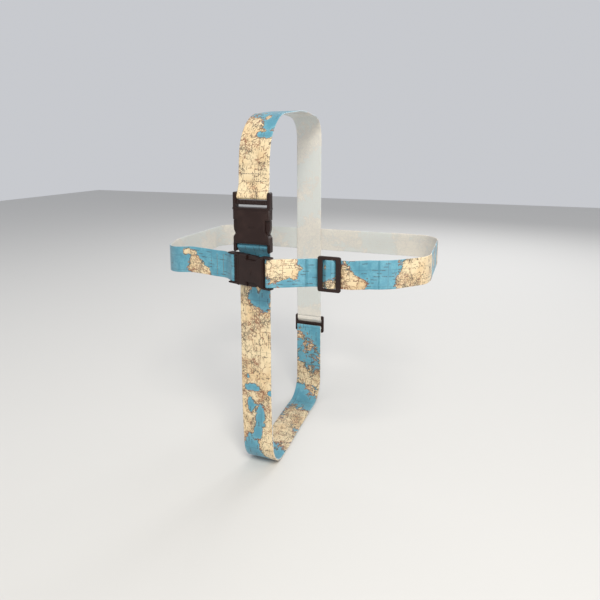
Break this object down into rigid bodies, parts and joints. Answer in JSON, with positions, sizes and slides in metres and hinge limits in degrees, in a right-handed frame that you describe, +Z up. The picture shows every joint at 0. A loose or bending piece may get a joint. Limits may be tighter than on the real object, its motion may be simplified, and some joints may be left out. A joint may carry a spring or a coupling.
{
  "type": "luggage strap",
  "caption": "Cross luggage strap: a vertical and a horizontal printed webbing loop round a suitcase, with side release buckles and sliding adjusters.",
  "frame": {"origin": "middle of the upper face of the bottom webbing, which is the face the suitcase stands on", "axes": "+Z up along the vertical loop, -Y towards the buckles, +X to the right as seen from the front"},
  "size_m": [0.433, 0.2966, 0.5725],
  "materials": {
    "printed_webbing": null,
    "buckle_plastic": "fine satin moulding, near black",
    "thread": "twisted polyester thread"
  },
  "bodies": {
    "root": {"upper_front_web": "printed_webbing", "socket_wide": "buckle_plastic", "plug_frame_narrow": "buckle_plastic", "plug_loop_web_narrow": "printed_webbing", "plug_loop_stitches_narrow": "thread", "top_front_web": "printed_webbing", "top_back_web": "printed_webbing", "upper_back_web": "printed_webbing", "back_web_end": "printed_webbing", "lower_back_web": "printed_webbing", "bottom_back_web": "printed_webbing", "bottom_web": "printed_webbing", "bottom_front_web": "printed_webbing", "lower_front_web": "printed_webbing", "socket_loop_web_wide": "printed_webbing", "lower_back_tail": "printed_webbing", "bottom_back_tail": "printed_webbing", "bottom_tail": "printed_webbing", "bottom_front_tail": "printed_webbing", "lower_front_tail": "printed_webbing", "left_front_web": "printed_webbing", "left_side_web": "printed_webbing", "cross_back_web": "printed_webbing", "right_side_web": "printed_webbing", "right_front_web": "printed_webbing", "back_cross_stitches": "thread"},
    "plug_wide": {"plug_frame_wide": "buckle_plastic", "plug_loop_web_wide": "printed_webbing", "plug_loop_stitches_wide": "thread"},
    "prong_right_wide": {"prong_right_wide": "buckle_plastic"},
    "prong_left_wide": {"prong_left_wide": "buckle_plastic"},
    "socket_narrow": {"socket_narrow": "buckle_plastic", "adjuster_web": "printed_webbing"},
    "prong_upper_narrow": {"prong_upper_narrow": "buckle_plastic"},
    "prong_lower_narrow": {"prong_lower_narrow": "buckle_plastic"},
    "front_slider": {"front_slider": "buckle_plastic", "front_slider_web": "printed_webbing"},
    "rear_slider": {"rear_slider": "buckle_plastic", "rear_slider_web": "printed_webbing"}
  },
  "joints": [
    {"name": "wide_release", "type": "slide", "parent": "root", "child": "plug_wide", "axis": [0, 0, 1], "range_m": [0, 0.046], "deforming": ["plug_loop_web_wide", "prong_left_wide", "prong_right_wide"]},
    {"name": "wide_prong_right", "type": "hinge", "parent": "plug_wide", "child": "prong_right_wide", "pos_m": [0.0245, -0.1336, 0.4129], "axis": [0, 1, 0], "range_deg": [0, 7], "stiffness_Nm_per_rad": 2},
    {"name": "wide_prong_left", "type": "hinge", "parent": "plug_wide", "child": "prong_left_wide", "pos_m": [-0.0245, -0.1336, 0.4129], "axis": [0, -1, 0], "range_deg": [0, 7], "stiffness_Nm_per_rad": 2},
    {"name": "narrow_release", "type": "slide", "parent": "root", "child": "socket_narrow", "axis": [0.9613, -0.2756, 0], "range_m": [0, 0.046], "deforming": ["adjuster_web", "prong_upper_narrow", "prong_lower_narrow"]},
    {"name": "narrow_prong_upper", "type": "hinge", "parent": "root", "child": "prong_upper_narrow", "pos_m": [-0.01259, -0.14319, 0.3455], "axis": [0.2756, 0.9613, 0], "range_deg": [0, 7], "stiffness_Nm_per_rad": 2},
    {"name": "narrow_prong_lower", "type": "hinge", "parent": "root", "child": "prong_lower_narrow", "pos_m": [-0.01259, -0.14319, 0.3085], "axis": [-0.2756, -0.9613, 0], "range_deg": [0, 7], "stiffness_Nm_per_rad": 2},
    {"name": "front_slider_slide", "type": "slide", "parent": "root", "child": "front_slider", "axis": [1, 0, 0], "range_m": [0, 0.02]},
    {"name": "rear_slider_slide", "type": "slide", "parent": "root", "child": "rear_slider", "axis": [0, 0, 1], "range_m": [-0.03, 0.03]}
  ],
  "couplings": [
    {"joint": "wide_prong_left", "follows": "wide_prong_right", "ratio": 1},
    {"joint": "narrow_prong_lower", "follows": "narrow_prong_upper", "ratio": 1}
  ]
}
